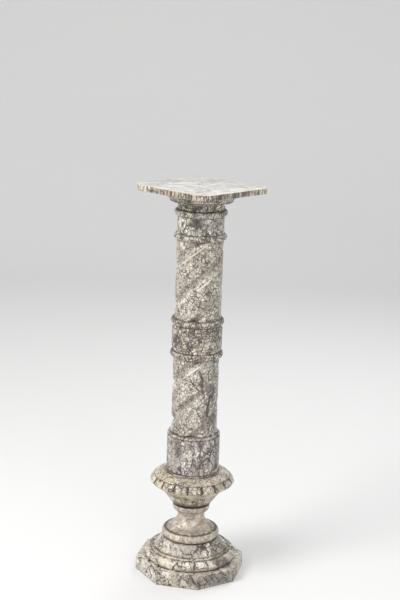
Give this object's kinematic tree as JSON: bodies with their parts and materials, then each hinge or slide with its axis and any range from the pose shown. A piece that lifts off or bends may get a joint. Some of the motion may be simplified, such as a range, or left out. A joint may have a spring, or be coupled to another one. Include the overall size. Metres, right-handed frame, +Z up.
{
  "type": "pedestal column",
  "caption": "Marble pedestal column with a square top slab whose corners are cut off, a spirally carved shaft with plain bands, a gadrooned cup and an octagonal base.",
  "frame": {"origin": "middle of the octagonal base's underside, on the column's axis", "axes": "+Z up along the shaft; X and Y along the sides of the square top slab"},
  "size_m": [0.306, 0.306, 1.1037],
  "materials": {
    "slab_marble": "polished cream-white breccia marble with dark veins along its edges",
    "capital_marble": "polished cream marble, brown dirt in its creases",
    "neck_marble": "polished white marble with a large dark patch",
    "upper_spiral_marble": "polished grey-beige marble with a dense network of fine veins",
    "band_marble": "polished grey-cream marble with dark broken veins",
    "lower_spiral_marble": "polished grey-beige marble with darker, upright veins",
    "drum_marble": "polished pinkish-grey marble with dark veins",
    "cup_marble": "polished warm cream marble, dirt between the gadroons",
    "socle_marble": "satin grey-beige marble",
    "base_marble": "polished cream breccia marble with bold dark veins"
  },
  "bodies": {
    "root": {"top_slab": "slab_marble", "capital": "capital_marble", "neck_drum": "neck_marble", "upper_twist": "upper_spiral_marble", "middle_band": "band_marble", "lower_twist": "lower_spiral_marble", "lower_drum": "drum_marble", "gadrooned_cup": "cup_marble", "socle": "socle_marble", "octagonal_base": "base_marble"}
  },
  "joints": []
}
